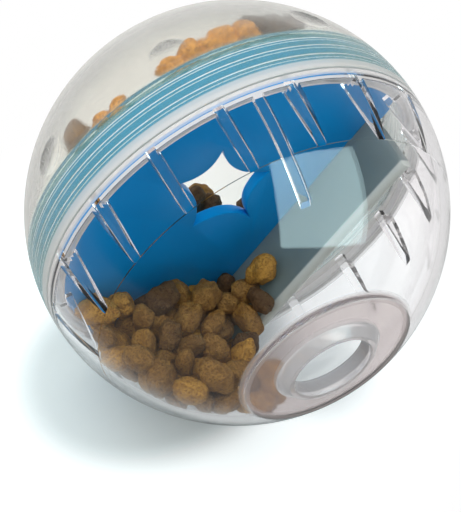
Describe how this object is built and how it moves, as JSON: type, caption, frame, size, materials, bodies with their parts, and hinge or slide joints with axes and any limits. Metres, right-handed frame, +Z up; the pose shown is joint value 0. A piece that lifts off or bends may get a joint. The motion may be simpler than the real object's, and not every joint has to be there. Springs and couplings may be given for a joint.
{
  "type": "treat ball",
  "caption": "Hollow two-part rolling treat ball that screws open round a star-holed tray with a dividing wall, and drops treats through a round exit.",
  "frame": {"origin": "centre of the ball", "axes": "+Y along the screw axis towards the middle of the frosted filling half, -Y out of the exit hole, +Z up as the ball lies on its side on the floor"},
  "size_m": [0.102, 0.0999, 0.102],
  "materials": {
    "clear_plastic": "clear, glossy, moulded",
    "frosted_plastic": "frosted, translucent, fine-grained",
    "blue_plastic": "opaque, satin gloss",
    "milky_plastic": "milky, translucent, smooth"
  },
  "bodies": {
    "clear_half": {"clear_half": "clear_plastic"},
    "tray": {"star_tray": "blue_plastic", "divider_wall": "milky_plastic"},
    "frosted_half": {"frosted_half": "frosted_plastic"}
  },
  "joints": [
    {"name": "screw_turn", "type": "hinge", "parent": "clear_half", "child": "tray", "pos_m": [0, 0, 0], "axis": [0, 1, 0], "range_deg": [0, 1080]},
    {"name": "screw_climb", "type": "slide", "parent": "tray", "child": "frosted_half", "axis": [0, 1, 0], "range_m": [0, 0.012]}
  ],
  "couplings": [
    {"joint": "screw_climb", "follows": "screw_turn", "m_per_rad": 0.0006366}
  ]
}
